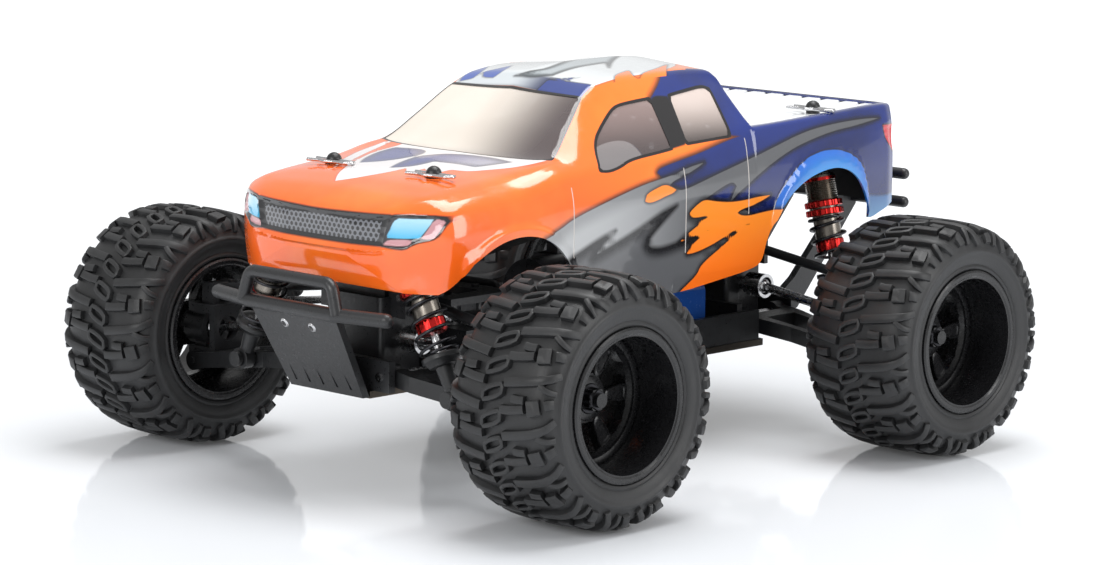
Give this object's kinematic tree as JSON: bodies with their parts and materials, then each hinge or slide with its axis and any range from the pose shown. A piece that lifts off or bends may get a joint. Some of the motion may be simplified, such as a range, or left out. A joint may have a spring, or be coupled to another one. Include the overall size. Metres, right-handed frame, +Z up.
{
  "type": "rc monster truck",
  "caption": "Radio-controlled monster truck with working suspension, steering and drive, painted pickup shell and block-tread tyres.",
  "frame": {"origin": "on the ground, under the centre of the truck's bounding box", "axes": "+Z up; the truck's front faces -Y and its left side faces +X"},
  "size_m": [0.2486, 0.2864, 0.1416],
  "materials": {
    "painted_shell": "gloss paint inside clear polycarbonate, orange over blue and silver",
    "anodised_plate": "dark anodised",
    "black_plastic": "moulded nylon, satin",
    "battery_wrap": "shrink wrap",
    "electronics_case": "moulded case",
    "motor_can": "painted can",
    "steel": "machined steel",
    "gear_plastic": "moulded nylon gear on a steel shaft",
    "wire_cover": "silicone lead cover",
    "tyre_rubber": "matte black rubber",
    "rim_plastic": "satin black nylon",
    "damper_metal": "gunmetal anodised with red anodised collars",
    "spring_steel": "black coated wire"
  },
  "bodies": {
    "chassis": {"chassis_plate": "anodised_plate", "side_guards": "black_plastic", "gearbox_cases": "black_plastic", "shock_towers": "black_plastic", "body_posts": "black_plastic", "body_clips": "steel", "front_bumper": "black_plastic", "rear_bumper": "black_plastic", "battery_pack": "battery_wrap", "electronics": "electronics_case", "steering_servo": "black_plastic", "motor": "motor_can", "steel_hardware": "steel", "wiring": "wire_cover", "body_shell": "painted_shell"},
    "servo_saver": {"servo_saver": "black_plastic"},
    "idler": {"idler_bellcrank": "black_plastic"},
    "steering_link": {"steering_link": "black_plastic"},
    "tie_rod_fl": {"tie_rod_fl": "black_plastic"},
    "tie_rod_fr": {"tie_rod_fr": "black_plastic"},
    "driveline": {"centre_driveshaft": "gear_plastic"},
    "pinion": {"motor_pinion": "steel"},
    "arm_fl": {"lower_arm_fl": "black_plastic"},
    "carrier_fl": {"hub_carrier_fl": "black_plastic"},
    "link_fl": {"upper_link_fl": "black_plastic"},
    "dogbone_fl": {"dogbone_fl": "steel"},
    "wheel_fl": {"tyre_fl": "tyre_rubber", "rim_fl": "rim_plastic"},
    "damper_fl": {"shock_cylinder_fl": "damper_metal", "spring_fl": "spring_steel"},
    "damper_rod_fl": {"shock_rod_fl": "steel"},
    "knuckle_fl": {"knuckle_fl": "black_plastic"},
    "arm_fr": {"lower_arm_fr": "black_plastic"},
    "carrier_fr": {"hub_carrier_fr": "black_plastic"},
    "link_fr": {"upper_link_fr": "black_plastic"},
    "dogbone_fr": {"dogbone_fr": "steel"},
    "wheel_fr": {"tyre_fr": "tyre_rubber", "rim_fr": "rim_plastic"},
    "damper_fr": {"shock_cylinder_fr": "damper_metal", "spring_fr": "spring_steel"},
    "damper_rod_fr": {"shock_rod_fr": "steel"},
    "knuckle_fr": {"knuckle_fr": "black_plastic"},
    "arm_rl": {"lower_arm_rl": "black_plastic"},
    "carrier_rl": {"hub_carrier_rl": "black_plastic"},
    "link_rl": {"upper_link_rl": "black_plastic"},
    "dogbone_rl": {"dogbone_rl": "steel"},
    "wheel_rl": {"tyre_rl": "tyre_rubber", "rim_rl": "rim_plastic"},
    "damper_rl": {"shock_cylinder_rl": "damper_metal", "spring_rl": "spring_steel"},
    "damper_rod_rl": {"shock_rod_rl": "steel"},
    "arm_rr": {"lower_arm_rr": "black_plastic"},
    "carrier_rr": {"hub_carrier_rr": "black_plastic"},
    "link_rr": {"upper_link_rr": "black_plastic"},
    "dogbone_rr": {"dogbone_rr": "steel"},
    "wheel_rr": {"tyre_rr": "tyre_rubber", "rim_rr": "rim_plastic"},
    "damper_rr": {"shock_cylinder_rr": "damper_metal", "spring_rr": "spring_steel"},
    "damper_rod_rr": {"shock_rod_rr": "steel"}
  },
  "joints": [
    {"name": "steering", "type": "hinge", "parent": "chassis", "child": "servo_saver", "pos_m": [0.012, -0.076, 0.058], "axis": [0, 0, 1], "range_deg": [-22, 22]},
    {"name": "idler_swing", "type": "hinge", "parent": "chassis", "child": "idler", "pos_m": [-0.012, -0.076, 0.058], "axis": [0, 0, 1], "range_deg": [-22, 22]},
    {"name": "link_turn", "type": "hinge", "parent": "servo_saver", "child": "steering_link", "pos_m": [0.012, -0.062, 0.0645], "axis": [0, 0, 1], "range_deg": [-22, 22]},
    {"name": "driveline_spin", "type": "hinge", "parent": "chassis", "child": "driveline", "pos_m": [0, -0.01, 0.0522], "axis": [0, 1, 0], "continuous": true},
    {"name": "pinion_spin", "type": "hinge", "parent": "chassis", "child": "pinion", "pos_m": [-0.0183, 0.044, 0.0522], "axis": [0, 1, 0], "continuous": true},
    {"name": "arm_travel_fl", "type": "hinge", "parent": "chassis", "child": "arm_fl", "pos_m": [0.021, -0.1, 0.041], "axis": [0, -1, 0], "range_deg": [-4, 12], "stiffness_Nm_per_rad": 1.5, "springref_deg": -9.74},
    {"name": "carrier_turn_fl", "type": "hinge", "parent": "arm_fl", "child": "carrier_fl", "pos_m": [0.086, -0.1, 0.032], "axis": [0, -1, 0], "range_deg": [-12, 4]},
    {"name": "link_swing_fl", "type": "hinge", "parent": "chassis", "child": "link_fl", "pos_m": [0.018, -0.1, 0.067], "axis": [0, -1, 0], "range_deg": [-4, 12]},
    {"name": "dogbone_swing_fl", "type": "hinge", "parent": "chassis", "child": "dogbone_fl", "pos_m": [0.023, -0.1, 0.0522], "axis": [0, -1, 0], "range_deg": [-4, 12]},
    {"name": "damper_swing_fl", "type": "hinge", "parent": "chassis", "child": "damper_fl", "pos_m": [0.0287, -0.113, 0.0897], "axis": [0, -1, 0], "range_deg": [-1.2, 3.51]},
    {"name": "damper_stroke_fl", "type": "slide", "parent": "damper_fl", "child": "damper_rod_fl", "axis": [-0.4396, 0, 0.8982], "range_m": [-0.00214, 0.00622], "deforming": ["spring_fl"]},
    {"name": "knuckle_turn_fl", "type": "hinge", "parent": "carrier_fl", "child": "knuckle_fl", "pos_m": [0.088, -0.1, 0.0432], "axis": [0, 0, 1], "range_deg": [-22, 22]},
    {"name": "tie_rod_swing_fl", "type": "hinge", "parent": "steering_link", "child": "tie_rod_fl", "pos_m": [0.023, -0.086, 0.05975], "axis": [0, -1, 0], "range_deg": [-4, 12]},
    {"name": "wheel_spin_fl", "type": "hinge", "parent": "knuckle_fl", "child": "wheel_fl", "pos_m": [0.10125, -0.1, 0.0432], "axis": [1, 0, 0], "continuous": true},
    {"name": "arm_travel_fr", "type": "hinge", "parent": "chassis", "child": "arm_fr", "pos_m": [-0.021, -0.1, 0.041], "axis": [0, 1, 0], "range_deg": [-4, 12], "stiffness_Nm_per_rad": 1.5, "springref_deg": -9.74},
    {"name": "carrier_turn_fr", "type": "hinge", "parent": "arm_fr", "child": "carrier_fr", "pos_m": [-0.086, -0.1, 0.032], "axis": [0, 1, 0], "range_deg": [-12, 4]},
    {"name": "link_swing_fr", "type": "hinge", "parent": "chassis", "child": "link_fr", "pos_m": [-0.018, -0.1, 0.067], "axis": [0, 1, 0], "range_deg": [-4, 12]},
    {"name": "dogbone_swing_fr", "type": "hinge", "parent": "chassis", "child": "dogbone_fr", "pos_m": [-0.023, -0.1, 0.0522], "axis": [0, 1, 0], "range_deg": [-4, 12]},
    {"name": "damper_swing_fr", "type": "hinge", "parent": "chassis", "child": "damper_fr", "pos_m": [-0.0287, -0.113, 0.0897], "axis": [0, 1, 0], "range_deg": [-1.2, 3.51]},
    {"name": "damper_stroke_fr", "type": "slide", "parent": "damper_fr", "child": "damper_rod_fr", "axis": [0.4396, 0, 0.8982], "range_m": [-0.00214, 0.00622], "deforming": ["spring_fr"]},
    {"name": "knuckle_turn_fr", "type": "hinge", "parent": "carrier_fr", "child": "knuckle_fr", "pos_m": [-0.088, -0.1, 0.0432], "axis": [0, 0, 1], "range_deg": [-22, 22]},
    {"name": "tie_rod_swing_fr", "type": "hinge", "parent": "steering_link", "child": "tie_rod_fr", "pos_m": [-0.023, -0.086, 0.05975], "axis": [0, 1, 0], "range_deg": [-4, 12]},
    {"name": "wheel_spin_fr", "type": "hinge", "parent": "knuckle_fr", "child": "wheel_fr", "pos_m": [-0.10125, -0.1, 0.0432], "axis": [1, 0, 0], "continuous": true},
    {"name": "arm_travel_rl", "type": "hinge", "parent": "chassis", "child": "arm_rl", "pos_m": [0.021, 0.08, 0.041], "axis": [0, -1, 0], "range_deg": [-4, 12], "stiffness_Nm_per_rad": 1.5, "springref_deg": -9.74},
    {"name": "carrier_turn_rl", "type": "hinge", "parent": "arm_rl", "child": "carrier_rl", "pos_m": [0.086, 0.08, 0.032], "axis": [0, -1, 0], "range_deg": [-12, 4]},
    {"name": "link_swing_rl", "type": "hinge", "parent": "chassis", "child": "link_rl", "pos_m": [0.018, 0.08, 0.067], "axis": [0, -1, 0], "range_deg": [-4, 12]},
    {"name": "dogbone_swing_rl", "type": "hinge", "parent": "chassis", "child": "dogbone_rl", "pos_m": [0.023, 0.08, 0.0522], "axis": [0, -1, 0], "range_deg": [-4, 12]},
    {"name": "damper_swing_rl", "type": "hinge", "parent": "chassis", "child": "damper_rl", "pos_m": [0.0383, 0.093, 0.0998], "axis": [0, -1, 0], "range_deg": [-0.25, 0.651]},
    {"name": "damper_stroke_rl", "type": "slide", "parent": "damper_rl", "child": "damper_rod_rl", "axis": [-0.2397, 0, 0.9708], "range_m": [-0.00227, 0.00662], "deforming": ["spring_rl"]},
    {"name": "wheel_spin_rl", "type": "hinge", "parent": "carrier_rl", "child": "wheel_rl", "pos_m": [0.10125, 0.08, 0.0432], "axis": [1, 0, 0], "continuous": true},
    {"name": "arm_travel_rr", "type": "hinge", "parent": "chassis", "child": "arm_rr", "pos_m": [-0.021, 0.08, 0.041], "axis": [0, 1, 0], "range_deg": [-4, 12], "stiffness_Nm_per_rad": 1.5, "springref_deg": -9.74},
    {"name": "carrier_turn_rr", "type": "hinge", "parent": "arm_rr", "child": "carrier_rr", "pos_m": [-0.086, 0.08, 0.032], "axis": [0, 1, 0], "range_deg": [-12, 4]},
    {"name": "link_swing_rr", "type": "hinge", "parent": "chassis", "child": "link_rr", "pos_m": [-0.018, 0.08, 0.067], "axis": [0, 1, 0], "range_deg": [-4, 12]},
    {"name": "dogbone_swing_rr", "type": "hinge", "parent": "chassis", "child": "dogbone_rr", "pos_m": [-0.023, 0.08, 0.0522], "axis": [0, 1, 0], "range_deg": [-4, 12]},
    {"name": "damper_swing_rr", "type": "hinge", "parent": "chassis", "child": "damper_rr", "pos_m": [-0.0383, 0.093, 0.0998], "axis": [0, 1, 0], "range_deg": [-0.25, 0.651]},
    {"name": "damper_stroke_rr", "type": "slide", "parent": "damper_rr", "child": "damper_rod_rr", "axis": [0.2397, 0, 0.9708], "range_m": [-0.00227, 0.00662], "deforming": ["spring_rr"]},
    {"name": "wheel_spin_rr", "type": "hinge", "parent": "carrier_rr", "child": "wheel_rr", "pos_m": [-0.10125, 0.08, 0.0432], "axis": [1, 0, 0], "continuous": true}
  ],
  "couplings": [
    {"joint": "idler_swing", "follows": "steering", "ratio": 1},
    {"joint": "link_turn", "follows": "steering", "ratio": -1},
    {"joint": "pinion_spin", "follows": "driveline_spin", "ratio": -3.0667},
    {"joint": "carrier_turn_fl", "follows": "arm_travel_fl", "ratio": -1},
    {"joint": "link_swing_fl", "follows": "arm_travel_fl", "ratio": 1},
    {"joint": "dogbone_swing_fl", "follows": "arm_travel_fl", "ratio": 1},
    {"joint": "damper_swing_fl", "follows": "arm_travel_fl", "ratio": 0.288},
    {"joint": "damper_stroke_fl", "follows": "arm_travel_fl", "m_per_rad": 0.029208},
    {"joint": "knuckle_turn_fl", "follows": "steering", "ratio": 1},
    {"joint": "tie_rod_swing_fl", "follows": "arm_travel_fl", "ratio": 1},
    {"joint": "carrier_turn_fr", "follows": "arm_travel_fr", "ratio": -1},
    {"joint": "link_swing_fr", "follows": "arm_travel_fr", "ratio": 1},
    {"joint": "dogbone_swing_fr", "follows": "arm_travel_fr", "ratio": 1},
    {"joint": "damper_swing_fr", "follows": "arm_travel_fr", "ratio": 0.288},
    {"joint": "damper_stroke_fr", "follows": "arm_travel_fr", "m_per_rad": 0.029208},
    {"joint": "knuckle_turn_fr", "follows": "steering", "ratio": 1},
    {"joint": "tie_rod_swing_fr", "follows": "arm_travel_fr", "ratio": 1},
    {"joint": "carrier_turn_rl", "follows": "arm_travel_rl", "ratio": -1},
    {"joint": "link_swing_rl", "follows": "arm_travel_rl", "ratio": 1},
    {"joint": "dogbone_swing_rl", "follows": "arm_travel_rl", "ratio": 1},
    {"joint": "damper_swing_rl", "follows": "arm_travel_rl", "ratio": 0.0501},
    {"joint": "damper_stroke_rl", "follows": "arm_travel_rl", "m_per_rad": 0.031128},
    {"joint": "carrier_turn_rr", "follows": "arm_travel_rr", "ratio": -1},
    {"joint": "link_swing_rr", "follows": "arm_travel_rr", "ratio": 1},
    {"joint": "dogbone_swing_rr", "follows": "arm_travel_rr", "ratio": 1},
    {"joint": "damper_swing_rr", "follows": "arm_travel_rr", "ratio": 0.0501},
    {"joint": "damper_stroke_rr", "follows": "arm_travel_rr", "m_per_rad": 0.031128}
  ]
}
